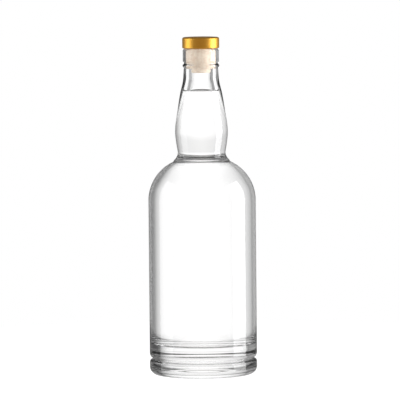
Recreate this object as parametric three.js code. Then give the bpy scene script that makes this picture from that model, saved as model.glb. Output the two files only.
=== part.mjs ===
// A round clear-glass spirits bottle with a bulbed neck, round shoulders and a thick stepped base,
// filled with a clear spirit and shut by a bar-top stopper: a gold aluminium cap over a moulded disc
// that carries a synthetic cork.
// Millimetres, +Z up. The origin is the centre of the ring that the bottle stands on.

import * as THREE from "three";

// Facets round each turned piece
const facetsRound = 48;

// Gap left between pieces that touch, or are bonded, in the real thing
const seatGap = 0.3;

// Base: a punt underneath, a flat ring to stand on, a rounded heel, and a plinth under a groove
const puntRadius = 35;
const puntDepth = 5;
const standingRingWidth = 2.5;
const plinthHeight = 12.4;
const plinthEdgeRadius = 2.2;
const grooveDepth = 3;
const grooveHeight = 1.2;
const footEdgeRadius = 1.2;
const footRadius = 5;
const footDegrees = 35;

// Body and shoulder
const bodyRadius = 44;
const bodyWall = 3.6;
const floorHeight = 25.2;
const floorCornerRadius = 9;
const shoulderHeight = 142.6;
const shoulderRadius = 35.3;
const shoulderTopRadius = 23.4;

// Neck: a flared foot on the shoulder, a waist, a bulb, a long taper, a soft step and a collar.
// Each rise is counted from the station below it.
const neckFootFlare = 8;
const neckFootDegrees = 50;
const waistRise = 40;
const waistRadius = 19.5;
const waistWall = 5.2;
const bulbRise = 17;
const bulbRadius = 21.6;
const bulbWall = 5.2;
const taperRise = 18;
const taperRadius = 19.3;
const taperWall = 6.7;
const stepRise = 13;
const stepRadius = 17.2;
const stepWall = 7.2;
const collarRise = 10;
const collarRadius = 14.9;
const throatRadius = 8.2;

// Mouth: a bead, a groove over it and a plain finish with rounded lips round a straight bore
const beadFootRise = 10;
const beadFootRadius = 14.1;
const beadRise = 2.8;
const beadRadius = 15;
const beadThickness = 3;
const finishRise = 3.5;
const finishHeight = 10.1;
const finishRadius = 14.75;
const lipRadius = 1.5;
const neckGrooveDepth = 0.95;
const boreRadius = 8;
const boreLipRadius = 1;
const boreDepth = 22.4;

// Spirit: how far its surface lies below the mouth
const fillDrop = 35.4;

// Stopper: cap, disc and cork
const capRadius = 15.15;
const capHeight = 9;
const capEdgeRadius = 1.4;
const capRimRadius = 0.7;
const capWall = 0.8;
const discShow = 0.4;
const discSocketDepth = 3;
const shankClearance = 0.2;
const shankLength = 19.4;
const shankTaper = 5.5;
const shankEndRadius = 7;

// Heights that follow from these, from the standing ring up
const waistHeight = shoulderHeight + waistRise;
const bulbHeight = waistHeight + bulbRise;
const taperHeight = bulbHeight + taperRise;
const stepHeight = taperHeight + stepRise;
const collarHeight = stepHeight + collarRise;
const beadFootHeight = collarHeight + beadFootRise;
const beadHeight = beadFootHeight + beadRise;
const finishFootHeight = beadHeight + finishRise;
const mouthHeight = finishFootHeight + finishHeight;
const fillHeight = mouthHeight - fillDrop;

function at(radius, height) {
  return new THREE.Vector2(radius, height);
}

// Points of an arc in a turned section, in degrees counted from the outward direction
function arc(centre, radius, fromDegrees, toDegrees, steps) {
  const points = [];
  for (let step = 0; step <= steps; step += 1) {
    const degrees = THREE.MathUtils.lerp(fromDegrees, toDegrees, step / steps);
    const angle = THREE.MathUtils.degToRad(degrees);
    points.push(at(centre.x + radius * Math.cos(angle), centre.y + radius * Math.sin(angle)));
  }
  return points;
}

// A smooth line through stations
function smooth(stations, steps) {
  return new THREE.SplineCurve(stations).getPoints(steps);
}

// Turns a section round the Z axis into a mesh
function turned(name, section, material) {
  const geometry = new THREE.LatheGeometry(section, facetsRound);
  geometry.rotateX(Math.PI / 2);
  const mesh = new THREE.Mesh(geometry, material);
  mesh.name = name;
  return mesh;
}

// The punt is part of a sphere through its crown and its rim
function puntSection() {
  const sphereRadius = (puntRadius ** 2 + puntDepth ** 2) / (2 * puntDepth);
  const rimDegrees = THREE.MathUtils.radToDeg(Math.acos(puntRadius / sphereRadius));
  return arc(at(0, puntDepth - sphereRadius), sphereRadius, 90, rimDegrees, 5);
}

// Standing ring, heel, plinth with its rounded edge, groove, and the rounded foot of the body
function baseSection() {
  const ringRadius = puntRadius + standingRingWidth;
  const heelRadius = bodyRadius - ringRadius;
  const ledgeRadius = grooveDepth - plinthEdgeRadius;
  const grooveFloor = plinthHeight + ledgeRadius;
  const grooveTop = grooveFloor + grooveHeight;
  const footAngle = THREE.MathUtils.degToRad(footDegrees);
  const edgeCentre = at(
    bodyRadius - footRadius + (footRadius - footEdgeRadius) * Math.cos(footAngle),
    grooveTop + footEdgeRadius,
  );
  const footHeight = edgeCentre.y + (footRadius - footEdgeRadius) * Math.sin(footAngle);
  return [
    at(ringRadius, 0),
    ...arc(at(ringRadius, heelRadius), heelRadius, -90, 0, 6).slice(1),
    ...arc(at(bodyRadius - plinthEdgeRadius, plinthHeight - plinthEdgeRadius), plinthEdgeRadius, 0, 90, 3),
    ...arc(at(bodyRadius - plinthEdgeRadius, grooveFloor), ledgeRadius, 270, 180, 3).slice(1),
    at(bodyRadius - grooveDepth, grooveTop),
    ...arc(edgeCentre, footEdgeRadius, -90, -footDegrees, 3),
    ...arc(at(bodyRadius - footRadius, footHeight), footRadius, -footDegrees, 0, 3).slice(1),
  ];
}

// The shoulder's arc, a wall's thickness inside the outer one where an inset is given
function shoulderSection(inset, steps) {
  const radius = shoulderRadius - inset;
  const centre = at(bodyRadius - shoulderRadius, shoulderHeight);
  const topDegrees = THREE.MathUtils.radToDeg(Math.acos((shoulderTopRadius - inset - centre.x) / radius));
  return arc(centre, radius, 0, topDegrees, steps);
}

// The neck's flared foot, the same way
function neckFootSection(inset, steps) {
  const flare = neckFootFlare + inset;
  const centre = at(waistRadius + neckFootFlare, waistHeight);
  return arc(centre, flare, 180 + neckFootDegrees, 180, steps);
}

// Outside of the neck, over the waist
function neckSection() {
  return smooth(
    [
      at(waistRadius, waistHeight),
      at(bulbRadius, bulbHeight),
      at(taperRadius, taperHeight),
      at(stepRadius, stepHeight),
      at(collarRadius, collarHeight),
      at(beadFootRadius, beadFootHeight),
    ],
    20,
  );
}

// Bead, groove and finish with its rounded lips, then down the bore
function mouthSection() {
  const beadSection = beadThickness / 2;
  const grooveRadius = finishRadius - neckGrooveDepth;
  return [
    ...arc(at(beadRadius - beadSection, beadHeight), beadSection, -80, 70, 5),
    at(grooveRadius, finishFootHeight - neckGrooveDepth),
    at(finishRadius, finishFootHeight),
    ...arc(at(finishRadius - lipRadius, mouthHeight - lipRadius), lipRadius, 0, 90, 4),
    ...arc(at(boreRadius + boreLipRadius, mouthHeight - boreLipRadius), boreLipRadius, 90, 180, 3),
    at(boreRadius, mouthHeight - boreDepth),
  ];
}

// Inside of the bottle from the middle of the floor up to the bore, drawn in by a gap
function cavitySection(gap) {
  const inset = bodyWall + gap;
  const corner = at(bodyRadius - bodyWall - floorCornerRadius, floorHeight + floorCornerRadius);
  return [
    at(0, floorHeight + gap),
    ...arc(corner, floorCornerRadius - gap, -90, 0, 5),
    ...shoulderSection(inset, 9),
    ...neckFootSection(waistWall + gap, 3).slice(1),
    ...smooth(
      [
        at(waistRadius - waistWall - gap, waistHeight),
        at(bulbRadius - bulbWall - gap, bulbHeight),
        at(taperRadius - taperWall - gap, taperHeight),
        at(stepRadius - stepWall - gap, stepHeight),
        at(throatRadius - gap, collarHeight),
        at(boreRadius - gap, mouthHeight - boreDepth),
      ],
      16,
    ).slice(1, -1),
  ];
}

// The part of a rising line that lies below a height
function upTo(points, height) {
  const above = points.findIndex((point) => point.y > height);
  const low = points[above - 1];
  const high = points[above];
  const surface = low.clone().lerp(high, (height - low.y) / (high.y - low.y));
  return [...points.slice(0, above), surface, at(0, height)];
}

// Blown in one piece, with the cavity open to the mouth
function glassBottle() {
  const material = new THREE.MeshStandardMaterial({
    color: 0xf2f6f6,
    roughness: 0.03,
    metalness: 0,
    transparent: true,
    opacity: 0.3,
  });
  const section = [
    ...puntSection(),
    ...baseSection(),
    ...shoulderSection(0, 12),
    ...neckFootSection(0, 5),
    ...neckSection().slice(1),
    ...mouthSection(),
    ...cavitySection(0).reverse(),
  ];
  return turned("glass_bottle", section, material);
}

function spirit() {
  const material = new THREE.MeshStandardMaterial({
    color: 0xf6fafb,
    roughness: 0,
    metalness: 0,
    transparent: true,
    opacity: 0.25,
  });
  return turned("vodka", upTo(cavitySection(seatGap), fillHeight), material);
}

// The disc rests on the mouth, and the cap's rim hangs a little above its underside
const discHeight = mouthHeight + seatGap;
const capRimHeight = discHeight + discShow;
const capTopHeight = capRimHeight + capHeight;
const shankRadius = boreRadius - shankClearance;

// Drawn from aluminium sheet
function capShell() {
  const material = new THREE.MeshStandardMaterial({ color: 0xd9a136, roughness: 0.32, metalness: 1 });
  const innerRadius = capRadius - capWall;
  const innerHeight = capTopHeight - capWall;
  const section = [
    at(0, innerHeight),
    at(innerRadius, innerHeight),
    at(innerRadius, capRimHeight),
    ...arc(at(capRadius - capRimRadius, capRimHeight + capRimRadius), capRimRadius, -90, 0, 3),
    ...arc(at(capRadius - capEdgeRadius, capTopHeight - capEdgeRadius), capEdgeRadius, 0, 90, 4),
    at(0, capTopHeight),
  ];
  return turned("cap_shell", section, material);
}

// Moulded plastic that fills the cap, with a socket underneath for the cork
function capDisc() {
  const material = new THREE.MeshStandardMaterial({ color: 0xead9c4, roughness: 0.5, metalness: 0 });
  const radius = capRadius - capWall - seatGap;
  const socketRadius = shankRadius + seatGap;
  const section = [
    at(0, discHeight + discSocketDepth),
    at(socketRadius, discHeight + discSocketDepth),
    at(socketRadius, discHeight),
    at(radius, discHeight),
    at(radius, capTopHeight - capWall - seatGap),
    at(0, capTopHeight - capWall - seatGap),
  ];
  return turned("cap_disc", section, material);
}

// Extruded synthetic cork with a tapered end, bonded into the disc
function stopperShank() {
  const material = new THREE.MeshStandardMaterial({ color: 0xe0cdb4, roughness: 0.7, metalness: 0 });
  const endHeight = mouthHeight - shankLength;
  const section = [
    at(0, endHeight),
    at(shankEndRadius, endHeight),
    at(shankRadius, endHeight + shankTaper),
    at(shankRadius, discHeight + discSocketDepth - seatGap),
    at(0, discHeight + discSocketDepth - seatGap),
  ];
  return turned("stopper_shank", section, material);
}

const bottle = new THREE.Group();
bottle.add(glassBottle(), spirit());

const stopper = new THREE.Group();
stopper.add(capShell(), capDisc(), stopperShank());

const part = new THREE.Group();
part.add(bottle, stopper);

export default part;
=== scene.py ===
import math

import bmesh
import bpy
from mathutils import Matrix, Vector


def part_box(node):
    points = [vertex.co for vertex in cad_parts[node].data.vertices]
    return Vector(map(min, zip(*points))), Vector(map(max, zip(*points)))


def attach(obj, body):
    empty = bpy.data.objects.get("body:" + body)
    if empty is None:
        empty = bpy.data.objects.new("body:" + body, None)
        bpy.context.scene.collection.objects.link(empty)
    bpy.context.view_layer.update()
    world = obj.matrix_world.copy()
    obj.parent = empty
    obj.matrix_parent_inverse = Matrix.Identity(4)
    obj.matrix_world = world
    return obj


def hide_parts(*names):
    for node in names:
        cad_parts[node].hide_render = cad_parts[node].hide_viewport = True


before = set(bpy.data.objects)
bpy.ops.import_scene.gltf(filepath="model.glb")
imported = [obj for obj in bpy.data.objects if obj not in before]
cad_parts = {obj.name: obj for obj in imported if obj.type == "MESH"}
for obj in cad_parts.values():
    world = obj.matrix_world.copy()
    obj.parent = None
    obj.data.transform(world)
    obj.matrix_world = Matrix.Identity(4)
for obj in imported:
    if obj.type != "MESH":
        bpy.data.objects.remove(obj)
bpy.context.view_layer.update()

# Glass bottle
# The bottle is blown from clear soda-lime glass in one piece: a thick base with a punt underneath, a
# plinth under a groove, a straight body, round shoulders, a bulbed neck and a beaded mouth.
# It is turned here from one closed section, all sizes in metres.
GLASS_FACETS = 128
LONGEST_STEP = 0.002
WELD_DISTANCE = 0.000001

punt_radius = 0.035
punt_depth = 0.005
standing_ring_width = 0.0025
plinth_height = 0.0124
plinth_edge_radius = 0.0022
groove_depth = 0.003
groove_height = 0.0012
foot_edge_radius = 0.0012
foot_radius = 0.005
foot_degrees = 35
body_radius = 0.044
body_wall = 0.0036
floor_height = 0.0244
floor_corner_radius = 0.009
shoulder_height = 0.1426
shoulder_radius = 0.0353
shoulder_top_radius = 0.0234
neck_foot_flare = 0.008
neck_foot_degrees = 50
waist_height, waist_radius, waist_wall = 0.1826, 0.0195, 0.0052
bulb_height, bulb_radius, bulb_wall = 0.1996, 0.0216, 0.0052
taper_height, taper_radius, taper_wall = 0.2176, 0.0193, 0.0067
step_height, step_radius, step_wall = 0.2306, 0.0172, 0.0072
collar_height, collar_radius = 0.2406, 0.0149
bead_foot_height, bead_foot_radius = 0.2506, 0.0141
bead_height, bead_radius, bead_thickness = 0.2534, 0.015, 0.003
bead_start_degrees, bead_end_degrees = -80, 70
throat_radius = 0.0082
mouth_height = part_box("glass_bottle")[1].z
finish_height = 0.0101
finish_radius = 0.01475
lip_radius = 0.0015
neck_groove_depth = 0.00095
bore_radius = 0.008
bore_lip_radius = 0.001
bore_depth = 0.0224


def arc(centre_r, centre_z, radius, start_degrees, end_degrees, steps):
    """Points of an arc in a turned section, in degrees counted from the outward direction."""
    points = []
    for step in range(steps + 1):
        angle = math.radians(start_degrees + (end_degrees - start_degrees) * step / steps)
        points.append((centre_r + radius * math.cos(angle), centre_z + radius * math.sin(angle)))
    return points


def neck_line(stations, steps_between=16):
    """A Catmull-Rom line through the neck's stations."""
    points = []
    last = len(stations) - 1
    for i in range(last):
        before, start = Vector(stations[max(i - 1, 0)]), Vector(stations[i])
        end, after = Vector(stations[i + 1]), Vector(stations[min(i + 2, last)])
        leave, arrive = (end - before) / 2, (after - start) / 2
        for step in range(steps_between):
            t = step / steps_between
            point = (
                (2 * start - 2 * end + leave + arrive) * t**3
                + (-3 * start + 3 * end - 2 * leave - arrive) * t**2
                + leave * t
                + start
            )
            points.append(tuple(point))
    return [*points, tuple(stations[-1])]


def evenly(section, longest):
    """The section with its long straight steps divided, so that smooth shading stays true on them."""
    points = [section[0]]
    for start, end in zip(section, section[1:]):
        pieces = max(1, math.ceil(math.dist(start, end) / longest))
        for piece in range(1, pieces + 1):
            share = piece / pieces
            points.append((start[0] + (end[0] - start[0]) * share, start[1] + (end[1] - start[1]) * share))
    return points


def calculate(tree, operation, first, second):
    """The result of a Math node on two values, each a number or another node's output."""
    node = tree.nodes.new("ShaderNodeMath")
    node.operation = operation
    for socket, value in zip(node.inputs, (first, second)):
        if isinstance(value, (int, float)):
            socket.default_value = value
        else:
            tree.links.new(value, socket)
    return node.outputs["Value"]


def turning_tree():
    """Geometry Nodes that turn a section, laid out in the XZ plane, round the bottle's axis."""
    tree = bpy.data.node_groups.new("turned piece", "GeometryNodeTree")
    for label, kind in (
        ("Section", "Geometry"),
        ("Facets round", "Int"),
        ("Weld distance", "Float"),
        ("Finish", "Material"),
    ):
        tree.interface.new_socket(label, in_out="INPUT", socket_type="NodeSocket" + kind)
    tree.interface.new_socket("Piece", in_out="OUTPUT", socket_type="NodeSocketGeometry")
    nodes, links = tree.nodes, tree.links
    given = nodes.new("NodeGroupInput").outputs
    counted = nodes.new("GeometryNodeAttributeDomainSize")
    links.new(given["Section"], counted.inputs["Geometry"])
    point_count = counted.outputs["Point Count"]

    # A flat grid with a row for each point of the section, a column for each facet and one for the seam.
    grid = nodes.new("GeometryNodeMeshGrid")
    links.new(calculate(tree, "ADD", given["Facets round"], 1), grid.inputs["Vertices X"])
    links.new(point_count, grid.inputs["Vertices Y"])
    index = nodes.new("GeometryNodeInputIndex").outputs["Index"]
    column = calculate(tree, "FLOOR", calculate(tree, "DIVIDE", index, point_count), 0)
    row = calculate(tree, "MODULO", index, point_count)

    # Each grid point goes to its own point of the section, swung round to its own facet.
    section_point = nodes.new("GeometryNodeSampleIndex")
    section_point.data_type = "FLOAT_VECTOR"
    links.new(given["Section"], section_point.inputs["Geometry"])
    links.new(nodes.new("GeometryNodeInputPosition").outputs["Position"], section_point.inputs["Value"])
    links.new(row, section_point.inputs["Index"])
    facet_angle = calculate(tree, "DIVIDE", 2 * math.pi, given["Facets round"])
    swing = nodes.new("ShaderNodeVectorRotate")
    swing.rotation_type = "Z_AXIS"
    links.new(section_point.outputs["Value"], swing.inputs["Vector"])
    links.new(calculate(tree, "MULTIPLY", column, facet_angle), swing.inputs["Angle"])
    place = nodes.new("GeometryNodeSetPosition")
    links.new(swing.outputs["Vector"], place.inputs["Position"])

    # The weld closes the seam and both poles.
    weld = nodes.new("GeometryNodeMergeByDistance")
    links.new(given["Weld distance"], weld.inputs["Distance"])
    shade = nodes.new("GeometryNodeSetShadeSmooth")
    realize = nodes.new("GeometryNodeRealizeInstances")
    finish = nodes.new("GeometryNodeSetMaterial")
    links.new(given["Finish"], finish.inputs["Material"])
    shape = grid.outputs["Mesh"]
    for node in (place, weld, shade, realize, finish):
        links.new(shape, node.inputs["Geometry"])
        shape = node.outputs["Geometry"]
    links.new(shape, nodes.new("NodeGroupOutput").inputs["Piece"])
    return tree


turning = turning_tree()
turning_inputs = {item.name: item.identifier for item in turning.interface.items_tree}


def turn(name, section, material, facets, longest=LONGEST_STEP):
    """A closed solid: the section, which starts and ends on the axis, turned round it."""
    points = [(radius, 0, height) for radius, height in evenly(section, longest)]
    line = bpy.data.meshes.new(name + "_section")
    line.from_pydata(points, [(i, i + 1) for i in range(len(points) - 1)], [])
    line.materials.append(material)
    piece = bpy.data.objects.new(name, line)
    bpy.context.scene.collection.objects.link(piece)
    turner = piece.modifiers.new("turning", "NODES")
    turner.node_group = turning
    turner[turning_inputs["Facets round"]] = facets
    turner[turning_inputs["Weld distance"]] = WELD_DISTANCE
    turner[turning_inputs["Finish"]] = material
    bpy.context.view_layer.update()
    turned = piece.evaluated_get(bpy.context.evaluated_depsgraph_get())
    mesh = bpy.data.meshes.new_from_object(turned)
    mesh.name = name
    # The grid brings an empty slot with it, ahead of the finish.
    mesh.materials.pop(index=0)
    piece.modifiers.clear()
    piece.data = mesh
    return piece


def shoulder(inset):
    """The shoulder's arc, a wall's thickness inside the outer one where an inset is given."""
    radius = shoulder_radius - inset
    centre = body_radius - shoulder_radius
    top_degrees = math.degrees(math.acos((shoulder_top_radius - inset - centre) / radius))
    return arc(centre, shoulder_height, radius, 0, top_degrees, steps=40)


def neck_foot(inset):
    """The concave flare between shoulder and waist."""
    centre = waist_radius + neck_foot_flare
    return arc(centre, waist_height, neck_foot_flare + inset, 180 + neck_foot_degrees, 180, steps=16)


def cavity(gap):
    """Inside of the bottle from the middle of the floor up to the bore, drawn in by a gap."""
    corner_radius = body_radius - body_wall - floor_corner_radius
    corner_height = floor_height + floor_corner_radius
    neck = neck_line(
        [
            (waist_radius - waist_wall - gap, waist_height),
            (bulb_radius - bulb_wall - gap, bulb_height),
            (taper_radius - taper_wall - gap, taper_height),
            (step_radius - step_wall - gap, step_height),
            (throat_radius - gap, collar_height),
            (bore_radius - gap, mouth_height - bore_depth),
        ]
    )
    return [
        (0, floor_height + gap),
        *arc(corner_radius, corner_height, floor_corner_radius - gap, -90, 0, steps=20),
        *shoulder(body_wall + gap),
        *neck_foot(waist_wall + gap)[1:-1],
        *neck[:-1],
    ]


def bottle_section():
    """The whole bottle's section, from the crown of the punt round the outside and down the inside."""
    punt_sphere = (punt_radius**2 + punt_depth**2) / (2 * punt_depth)
    punt_edge_degrees = math.degrees(math.acos(punt_radius / punt_sphere))
    ring_radius = punt_radius + standing_ring_width
    heel_radius = body_radius - ring_radius
    plinth_centre = body_radius - plinth_edge_radius
    ledge = groove_depth - plinth_edge_radius
    groove_floor = plinth_height + ledge
    groove_top = groove_floor + groove_height
    foot_angle = math.radians(foot_degrees)
    edge_reach = foot_radius - foot_edge_radius
    edge_centre_r = body_radius - foot_radius + edge_reach * math.cos(foot_angle)
    edge_centre_z = groove_top + foot_edge_radius
    foot_centre = edge_centre_z + edge_reach * math.sin(foot_angle)
    neck = neck_line(
        [
            (waist_radius, waist_height),
            (bulb_radius, bulb_height),
            (taper_radius, taper_height),
            (step_radius, step_height),
            (collar_radius, collar_height),
            (bead_foot_radius, bead_foot_height),
        ]
    )
    bead_round = bead_thickness / 2
    bead_centre = bead_radius - bead_round
    finish_foot = mouth_height - finish_height
    lip_centre = finish_radius - lip_radius
    bore_lip_centre = bore_radius + bore_lip_radius
    return [
        *arc(0, punt_depth - punt_sphere, punt_sphere, 90, punt_edge_degrees, steps=16),
        *arc(ring_radius, heel_radius, heel_radius, -90, 0, steps=24),
        *arc(plinth_centre, plinth_height - plinth_edge_radius, plinth_edge_radius, 0, 90, steps=10),
        *arc(plinth_centre, groove_floor, ledge, 270, 180, steps=10)[1:],
        (body_radius - groove_depth, groove_top),
        *arc(edge_centre_r, edge_centre_z, foot_edge_radius, -90, -foot_degrees, steps=10),
        *arc(body_radius - foot_radius, foot_centre, foot_radius, -foot_degrees, 0, steps=10)[1:],
        *shoulder(0)[1:],
        *neck_foot(0),
        *neck[1:],
        *arc(bead_centre, bead_height, bead_round, bead_start_degrees, bead_end_degrees, steps=14),
        (finish_radius - neck_groove_depth, finish_foot - neck_groove_depth),
        (finish_radius, finish_foot),
        *arc(lip_centre, mouth_height - lip_radius, lip_radius, 0, 90, steps=12),
        *arc(bore_lip_centre, mouth_height - bore_lip_radius, bore_lip_radius, 90, 180, steps=8),
        (bore_radius, mouth_height - bore_depth),
        *reversed(cavity(0)),
    ]


def mixed_shader(tree, share, first, second):
    """The first shader, and the second by the given share."""
    mix = tree.nodes.new("ShaderNodeMixShader")
    tree.links.new(share, mix.inputs["Fac"])
    tree.links.new(first, mix.inputs[1])
    tree.links.new(second, mix.inputs[2])
    return mix.outputs["Shader"]


def clear_finish(name, ior):
    """Clear glass or liquid that lets the lamps' light through to what stands behind it."""
    material = bpy.data.materials.new(name)
    material.use_nodes = True
    tree = material.node_tree
    shader = tree.nodes["Principled BSDF"]
    shader.inputs["Base Color"].default_value = (1, 1, 1, 1)
    shader.inputs["Transmission Weight"].default_value = 1
    shader.inputs["IOR"].default_value = ior
    shader.inputs["Roughness"].default_value = 0
    shadow = tree.nodes.new("ShaderNodeLightPath").outputs["Is Shadow Ray"]
    through = tree.nodes.new("ShaderNodeBsdfTransparent").outputs["BSDF"]
    surface = mixed_shader(tree, shadow, shader.outputs["BSDF"], through)
    tree.links.new(surface, tree.nodes["Material Output"].inputs["Surface"])
    return material


# Light turns many times inside the thick neck foot and base, and goes black where it's cut short.
LIGHT_TURNS = 40
bpy.context.scene.cycles.max_bounces = LIGHT_TURNS
bpy.context.scene.cycles.transmission_bounces = LIGHT_TURNS

clear_glass = clear_finish("clear_glass", ior=1.52)
bottle = turn("bottle_glass", bottle_section(), clear_glass, GLASS_FACETS)
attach(bottle, "bottle")
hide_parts("glass_bottle")

# Vodka
# The clear spirit wets the whole cavity up to the neck, and climbs the glass in a small meniscus.
# Its skin lies a hair inside the wall, so that no film of air is left between liquid and glass.
WETTING = 0.00005
fill_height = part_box("vodka")[1].z
meniscus_rise = 0.0010
meniscus_width = 0.0010
meniscus_steps = 24
meniscus_crowding = 1.5
meniscus_reach = 0.999


def vodka_section():
    """The cavity up to the fill line, closed by the curved surface of the liquid."""
    wall = [point for point in cavity(-WETTING) if point[1] < fill_height + meniscus_rise]
    rim_radius = wall[-1][0]
    surface = []
    for step in range(meniscus_steps):
        inward = (step / meniscus_steps) ** meniscus_crowding * meniscus_reach
        radius = rim_radius * (1 - inward)
        climb = meniscus_rise * math.exp(-(rim_radius - radius) / meniscus_width)
        surface.append((radius, fill_height + climb))
    return [*wall[:-1], *surface, (0, fill_height)]


clear_spirit = clear_finish("clear_spirit", ior=1.36)
vodka = turn("vodka_fill", vodka_section(), clear_spirit, GLASS_FACETS)
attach(vodka, "bottle")
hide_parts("vodka")

# Stopper shank
# An extruded synthetic cork, squeezed against the bore where the mouth is tight and tapered at its end.
# Its foamed skin is cream, mottled and slightly rough.
STOPPER_FACETS = 96
shank_end, shank_top = (corner.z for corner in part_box("stopper_shank"))
shank_squeeze = 0.00003
shank_taper = 0.0055
shank_end_radius = 0.0079
shank_edge = 0.0008


def mottled_finish(name, roughness, scale, detail, colours, bump=None, stretch=None, metallic=0):
    """A finish whose colour, and its relief where it has one, follow a fine noise."""
    material = bpy.data.materials.new(name)
    material.use_nodes = True
    nodes, links = material.node_tree.nodes, material.node_tree.links
    shader = nodes["Principled BSDF"]
    shader.inputs["Roughness"].default_value = roughness
    shader.inputs["Metallic"].default_value = metallic
    place = nodes.new("ShaderNodeTexCoord").outputs["Object"]
    if stretch:
        stretched = nodes.new("ShaderNodeMapping")
        stretched.inputs["Scale"].default_value = stretch
        links.new(place, stretched.inputs["Vector"])
        place = stretched.outputs["Vector"]
    mottle = nodes.new("ShaderNodeTexNoise")
    mottle.inputs["Scale"].default_value = scale
    mottle.inputs["Detail"].default_value = detail
    links.new(place, mottle.inputs["Vector"])
    ramp = nodes.new("ShaderNodeValToRGB")
    for element, (position, colour) in zip(ramp.color_ramp.elements, colours):
        element.position = position
        element.color = (*colour, 1)
    links.new(mottle.outputs["Fac"], ramp.inputs["Fac"])
    links.new(ramp.outputs["Color"], shader.inputs["Base Color"])
    if bump:
        relief = nodes.new("ShaderNodeBump")
        strength, distance = bump
        relief.inputs["Strength"].default_value = strength
        relief.inputs["Distance"].default_value = distance
        links.new(mottle.outputs["Fac"], relief.inputs["Height"])
        links.new(relief.outputs["Normal"], shader.inputs["Normal"])
    return material


synthetic_cork = mottled_finish(
    "synthetic_cork",
    roughness=0.62,
    scale=500,
    detail=5,
    colours=[(0.3, (0.80, 0.64, 0.50)), (0.62, (0.92, 0.80, 0.66))],
    bump=(0.1, 0.0003),
)
tight_radius = bore_radius + shank_squeeze
shank = turn(
    "cork_shank",
    [
        (0, shank_end),
        (shank_end_radius - shank_edge, shank_end),
        *arc(shank_end_radius - shank_edge, shank_end + shank_edge, shank_edge, -90, 0, steps=8),
        (tight_radius, shank_end + shank_taper),
        (tight_radius, shank_top),
        (0, shank_top),
    ],
    synthetic_cork,
    STOPPER_FACETS,
)
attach(shank, "stopper")
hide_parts("stopper_shank")

# Cap disc
# A moulded plastic disc fills the cap and rests on the mouth, and the cork is bonded into the socket
# underneath. Only its pale edge shows, as a thin ring between the gold and the glass.
disc_low, disc_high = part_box("cap_disc")
disc_radius = disc_high.x
disc_edge = 0.0003
socket_depth = 0.0027
socket_clearance = 0.0001

cream_plastic = mottled_finish(
    "cream_plastic",
    roughness=0.4,
    scale=150,
    detail=2,
    colours=[(0.35, (0.82, 0.56, 0.38)), (0.7, (0.92, 0.70, 0.50))],
)
socket_radius = tight_radius + socket_clearance
disc = turn(
    "cap_disc_moulding",
    [
        (0, disc_low.z + socket_depth),
        (socket_radius, disc_low.z + socket_depth),
        (socket_radius, disc_low.z),
        (disc_radius - disc_edge, disc_low.z),
        *arc(disc_radius - disc_edge, disc_low.z + disc_edge, disc_edge, -90, 0, steps=6),
        (disc_radius, disc_high.z),
        (0, disc_high.z),
    ],
    cream_plastic,
    STOPPER_FACETS,
)
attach(disc, "stopper")
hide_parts("cap_disc")

# Cap shell
# A cup drawn from aluminium sheet, satin brushed round its side, anodised gold and pressed over the
# disc. Its top edge is rounded by the drawing, and its rim is trimmed and rounded off.
CAP_FACETS = 128
cap_low, cap_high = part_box("cap_shell")
cap_radius = cap_high.x
cap_wall = 0.0008
cap_edge = 0.0014
cap_rim_edge = 0.0008
cap_longest_step = 0.001

gold_aluminium = mottled_finish(
    "gold_aluminium",
    roughness=0.4,
    scale=1,
    detail=3,
    colours=[(0.3, (0.80, 0.42, 0.06)), (0.7, (0.90, 0.50, 0.09))],
    bump=(0.06, 0.00005),
    stretch=(40, 40, 4000),
    metallic=1,
)
cap_inner = cap_radius - cap_wall
cap = turn(
    "cap_gold_shell",
    [
        (0, cap_high.z - cap_wall),
        (cap_inner, cap_high.z - cap_wall),
        (cap_inner, cap_low.z),
        *arc(cap_radius - cap_rim_edge, cap_low.z + cap_rim_edge, cap_rim_edge, -90, 0, steps=10),
        *arc(cap_radius - cap_edge, cap_high.z - cap_edge, cap_edge, 0, 90, steps=12),
        (0, cap_high.z),
    ],
    gold_aluminium,
    CAP_FACETS,
    cap_longest_step,
)
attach(cap, "stopper")
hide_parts("cap_shell")

# Studio floor
# A disc that the camera sees as white as the backdrop. Rays from the bottle pass it and go on to the
# surroundings, apart from a grey patch under the bottle, which darkens the base's inner edges.
floor_radius = 0.42
floor_drop = 0.0002
patch_radius = 0.045
patch_fade = 0.95
floor_glow = 0.88

floor_mesh = bmesh.new()
bmesh.ops.create_circle(floor_mesh, cap_ends=True, segments=96, radius=floor_radius)
floor_data = bpy.data.meshes.new("studio_floor")
floor_mesh.to_mesh(floor_data)
floor_mesh.free()
floor_data.transform(Matrix.Translation((0, 0, -floor_drop)))
floor = bpy.data.objects.new("studio_floor", floor_data)
bpy.context.scene.collection.objects.link(floor)


def ranged(tree, value, start, end, to_start=0.0, to_end=1.0):
    """A value taken from one range to another, and held at both ends."""
    node = tree.nodes.new("ShaderNodeMapRange")
    ends = {"From Min": start, "From Max": end, "To Min": to_start, "To Max": to_end}
    for label, amount in ends.items():
        node.inputs[label].default_value = amount
    tree.links.new(value, node.inputs["Value"])
    return node.outputs["Result"]


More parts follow.
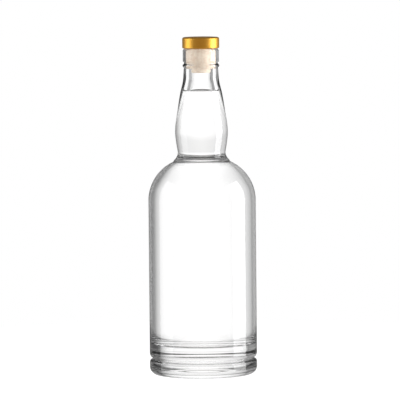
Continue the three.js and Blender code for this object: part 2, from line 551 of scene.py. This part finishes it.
def studio_white():
    """It glows for the camera, a little under white, and is open to every other ray past the patch."""
    material = bpy.data.materials.new("studio_white")
    material.use_nodes = True
    tree = material.node_tree
    shader = tree.nodes["Principled BSDF"]
    shader.inputs["Base Color"].default_value = (0.2, 0.2, 0.2, 1)
    shader.inputs["Roughness"].default_value = 0.9
    shader.inputs["Specular IOR Level"].default_value = 0.1
    shader.inputs["Emission Color"].default_value = (1, 1, 1, 1)
    seen = tree.nodes.new("ShaderNodeLightPath").outputs["Is Camera Ray"]
    tree.links.new(calculate(tree, "MULTIPLY", seen, floor_glow), shader.inputs["Emission Strength"])
    reach = tree.nodes.new("ShaderNodeVectorMath")
    reach.operation = "LENGTH"
    tree.links.new(tree.nodes.new("ShaderNodeTexCoord").outputs["Object"], reach.inputs[0])
    past_patch = ranged(tree, reach.outputs["Value"], patch_radius * patch_fade, patch_radius)
    unseen = calculate(tree, "SUBTRACT", 1, seen)
    openness = calculate(tree, "MULTIPLY", unseen, past_patch)
    through = tree.nodes.new("ShaderNodeBsdfTransparent").outputs["BSDF"]
    surface = mixed_shader(tree, openness, shader.outputs["BSDF"], through)
    tree.links.new(surface, tree.nodes["Material Output"].inputs["Surface"])
    return material


floor_data.materials.append(studio_white())

# Surroundings
# A white sweep behind, narrower towards the floor, greys beside it, and in front a room with a bright
# reflector low down. The camera sees plain white, and the glass bends its view towards the greys at its
# edges, which draws its outline. Metal and glass mirror a plainer ring of tones.
BACKDROP_STRENGTH = 1.15
REFLECTOR_BRIGHTNESS = 1.8
FILL_STRENGTH = 0.45
ROOM_BROWN = (0.33, 0.26, 0.18)

# Tones by compass degrees, from 0 straight behind the bottle to 180 at the camera's side.
through_glass = [
    (-180, 0.85), (-140, 0.8), (-112, 0.7), (-100, 0.5), (-80, 0.36), (-60, 0.32), (-51, 0.3),
    (-47, 0.2), (-43.5, 0.46), (-40, 0.56), (-34, 0.72), (-25, 0.84), (-16, 0.94), (0, 1.0), (15, 0.96),
    (22, 0.9), (28, 0.84), (33.5, 0.68), (38.5, 0.46), (43, 0.2), (49, 0.07), (66, 0.08),
    (92, 0.14), (112, 0.6), (140, 0.8), (180, 0.85),
]
mirrored = [
    (-180, ROOM_BROWN), (-140, ROOM_BROWN), (-118, 0.3), (-60, 0.3), (-50, 0.15), (-36, 0.15),
    (-32, 0.4), (-26, 0.15), (26, 0.15), (50, 0.15), (60, 0.3), (118, 0.3), (140, ROOM_BROWN),
    (180, ROOM_BROWN),
]
# Tones by how far up the view points, from -1 straight down to 1 straight up.
by_height = [
    (-1, 0.9), (-0.96, 0.9), (-0.93, 0.75), (-0.87, 0.5), (-0.82, 0.36), (-0.72, 0.38),
    (-0.65, 0.95), (-0.6, 1.0), (-0.02, 1.0), (0.03, 0.8), (0.09, 0.8), (0.2, 1.05), (0.35, 1.0),
    (0.5, 0.8), (1, 0.75),
]
# The greys close in on the middle by this much where the view is steeper than the first angle below
# level, and not at all where it is flatter than the second.
narrowing = 1.4
steep_degrees, flat_degrees = 36, 14
# The reflector fades in as the view points forwards and down, both as shares of its direction.
reflector_front = (-0.25, -0.45)
reflector_low = (-0.55, -0.7)

world = bpy.data.worlds.new("studio")
bpy.context.scene.world = world
world.use_nodes = True
sky = world.node_tree
sky_plain = sky.nodes["Background"]
sky_plain.inputs["Color"].default_value = (1, 1, 1, 1)
sky_plain.inputs["Strength"].default_value = 1.0


def tones(label, value, stops, lowest, highest):
    """The greys or colours at the given places between a lowest and a highest value."""
    ramp = sky.nodes.new("ShaderNodeValToRGB")
    ramp.label = label
    elements = ramp.color_ramp.elements
    elements.remove(elements[-1])
    for number, (place, tone) in enumerate(stops):
        position = (place - lowest) / (highest - lowest)
        element = elements[0] if number == 0 else elements.new(position)
        element.position = position
        element.color = (*tone, 1) if isinstance(tone, tuple) else (tone, tone, tone, 1)
    sky.links.new(value, ramp.inputs["Fac"])
    return ramp.outputs["Color"]


def mixed_colour(blend, factor, first, second):
    """Two colours mixed, where each value is a constant or another node's output."""
    mix = sky.nodes.new("ShaderNodeMix")
    mix.data_type = "RGBA"
    mix.blend_type = blend
    sockets = {socket.identifier: socket for socket in mix.inputs}
    for identifier, value in (("Factor_Float", factor), ("A_Color", first), ("B_Color", second)):
        if isinstance(value, (int, float, tuple)):
            sockets[identifier].default_value = value
        else:
            sky.links.new(value, sockets[identifier])
    return next(socket for socket in mix.outputs if socket.identifier == "Result_Color")


def background(colour, strength):
    """A Background shader of a constant colour or another node's output."""
    node = sky.nodes.new("ShaderNodeBackground")
    node.inputs["Strength"].default_value = strength
    if isinstance(colour, tuple):
        node.inputs["Color"].default_value = colour
    else:
        sky.links.new(colour, node.inputs["Color"])
    return node.outputs["Background"]


view_place = sky.nodes.new("ShaderNodeTexCoord").outputs["Generated"]
view_split = sky.nodes.new("ShaderNodeSeparateXYZ")
sky.links.new(view_place, view_split.inputs["Vector"])
view_across, view_along, view_up = view_split.outputs
compass = calculate(sky, "ARCTAN2", view_across, view_along)

steep = math.sin(math.radians(-steep_degrees))
flat = math.sin(math.radians(-flat_degrees))
closed_in = calculate(sky, "MULTIPLY", compass, ranged(sky, view_up, steep, flat, narrowing, 1))
ring_share = ranged(sky, closed_in, -math.pi, math.pi)
ring = tones("seen through glass, by compass", ring_share, through_glass, -180, 180)
tiers = tones("seen through glass, by height", ranged(sky, view_up, -1, 1), by_height, -1, 1)
sweep = mixed_colour("MULTIPLY", 1, ring, tiers)
front = ranged(sky, view_along, *reflector_front)
low = ranged(sky, view_up, *reflector_low)
reflector_white = (REFLECTOR_BRIGHTNESS, REFLECTOR_BRIGHTNESS, REFLECTOR_BRIGHTNESS, 1)
lit_sweep = mixed_colour("MIX", calculate(sky, "MULTIPLY", front, low), sweep, reflector_white)
mirror_share = ranged(sky, compass, -math.pi, math.pi)
mirror = tones("mirrored in metal and glass", mirror_share, mirrored, -180, 180)

ray_kinds = sky.nodes.new("ShaderNodeLightPath").outputs
surroundings = background((1, 1, 1, 1), FILL_STRENGTH)
for ray, shown in (
    ("Is Glossy Ray", background(mirror, 1.0)),
    ("Is Transmission Ray", background(lit_sweep, BACKDROP_STRENGTH)),
    ("Is Camera Ray", sky_plain.outputs["Background"]),
):
    surroundings = mixed_shader(sky, ray_kinds[ray], surroundings, shown)
sky.links.new(surroundings, sky.nodes["World Output"].inputs["Surface"])

# Soft boxes
# Two tall soft boxes stand beside the bottle, the right one brighter, and a third hangs overhead. The
# glass mirrors the two beside it, but isn't seen through into any of them.
bottle_middle = Vector((0, 0, 0.14))
side_distance = 1.3
side_forward = -0.1
side_height = 0.35
side_size = (0.9, 1.4)
overhead_place = (0, 0.1, 1.6)
overhead_size = (1.2, 1.2)


def soft_box(name, place, size, watts):
    """A rectangular lamp that faces the middle of the bottle."""
    lamp = bpy.data.lights.new(name, "AREA")
    lamp.shape = "RECTANGLE"
    lamp.size, lamp.size_y = size
    lamp.energy = watts
    box = bpy.data.objects.new(name, lamp)
    box.location = place
    aim = bottle_middle - Vector(place)
    box.rotation_euler = aim.to_track_quat("-Z", "Y").to_euler()
    box.visible_transmission = False
    bpy.context.scene.collection.objects.link(box)
    return box


soft_box("soft_box_right", (side_distance, side_forward, side_height), side_size, watts=19)
soft_box("soft_box_left", (-side_distance, side_forward, side_height), side_size, watts=7.5)
overhead = soft_box("soft_box_top", overhead_place, overhead_size, watts=6)
overhead.visible_glossy = False

# Camera
# It stands well back, as the photograph's flat view asks, and a little above the cap. It is turned by
# half a degree, as the photograph is.
camera_distance = 3.9
camera_height = 0.45
aim_point = Vector((-0.0017, 0, 0.1431))
picture_width = 0.328
camera_roll = math.radians(-0.51)

camera_data = bpy.data.cameras.new("camera")
camera = bpy.data.objects.new("camera", camera_data)
camera.location = (0, -camera_distance, camera_height)
look = aim_point - camera.location
camera_data.sensor_width = 36
camera_data.lens = camera_data.sensor_width * look.length / picture_width
camera_data.clip_start = 0.1
camera_data.clip_end = 50
facing = look.to_track_quat("-Z", "Y").to_matrix()
camera.rotation_euler = (facing @ Matrix.Rotation(camera_roll, 3, "Z")).to_euler()
bpy.context.scene.collection.objects.link(camera)
bpy.context.scene.camera = camera

bpy.context.scene.view_settings.view_transform = "Standard"
